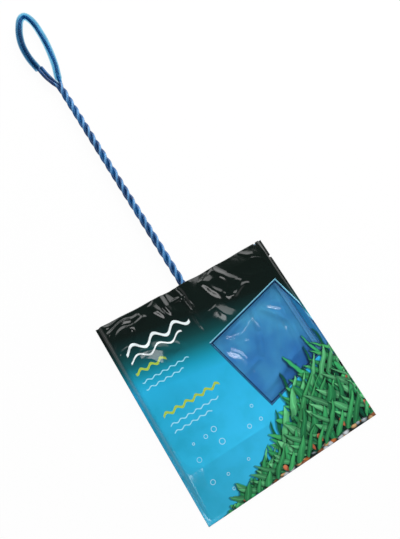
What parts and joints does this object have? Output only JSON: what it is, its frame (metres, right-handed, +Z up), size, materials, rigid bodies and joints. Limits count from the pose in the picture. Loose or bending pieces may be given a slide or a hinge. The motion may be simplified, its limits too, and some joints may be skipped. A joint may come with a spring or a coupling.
{
  "type": "aquarium fish net",
  "caption": "Fish net with a twisted coated-wire handle, hanging loop and mesh pouch on a rectangular frame, its head in a pull-off printed film sleeve with a clear window.",
  "frame": {"origin": "on the surface the part lies on, under the middle of its whole box", "axes": "+Y along the handle from the net to the hanging loop, +Z up out of the sleeve's printed front"},
  "size_m": [0.16, 0.4677, 0.0079],
  "materials": {
    "coated_wire": "glossy blue vinyl coat on steel wire",
    "clear_blue_vinyl": "clear blue vinyl tube",
    "rim_tape": "woven nylon tape",
    "blue_mesh": "fine knitted nylon mesh",
    "printed_film": "printed glossy polyethylene film",
    "clear_film": "clear glossy polyethylene film"
  },
  "bodies": {
    "net": {"handle_strand_loop": "coated_wire", "handle_strand_tail": "coated_wire", "handle_strand_return": "coated_wire", "loop_wire": "coated_wire", "wire_tail": "coated_wire", "loop_tube": "clear_blue_vinyl", "frame_arm_left": "coated_wire", "frame_arm_right": "coated_wire", "frame_side_left": "coated_wire", "frame_side_right": "coated_wire", "frame_bottom": "coated_wire", "rim_tape_top_left": "rim_tape", "rim_tape_top_right": "rim_tape", "rim_tape_left": "rim_tape", "rim_tape_right": "rim_tape", "rim_tape_bottom": "rim_tape", "mesh_pouch": "blue_mesh", "pouch_seam_left": "rim_tape", "pouch_seam_right": "rim_tape"},
    "sleeve": {"sleeve_front_film": "printed_film", "sleeve_window": "clear_film", "sleeve_back_film": "printed_film"}
  },
  "joints": [
    {"name": "sleeve_pull", "type": "slide", "parent": "net", "child": "sleeve", "axis": [0, -1, 0], "range_m": [0, 0.185]}
  ]
}
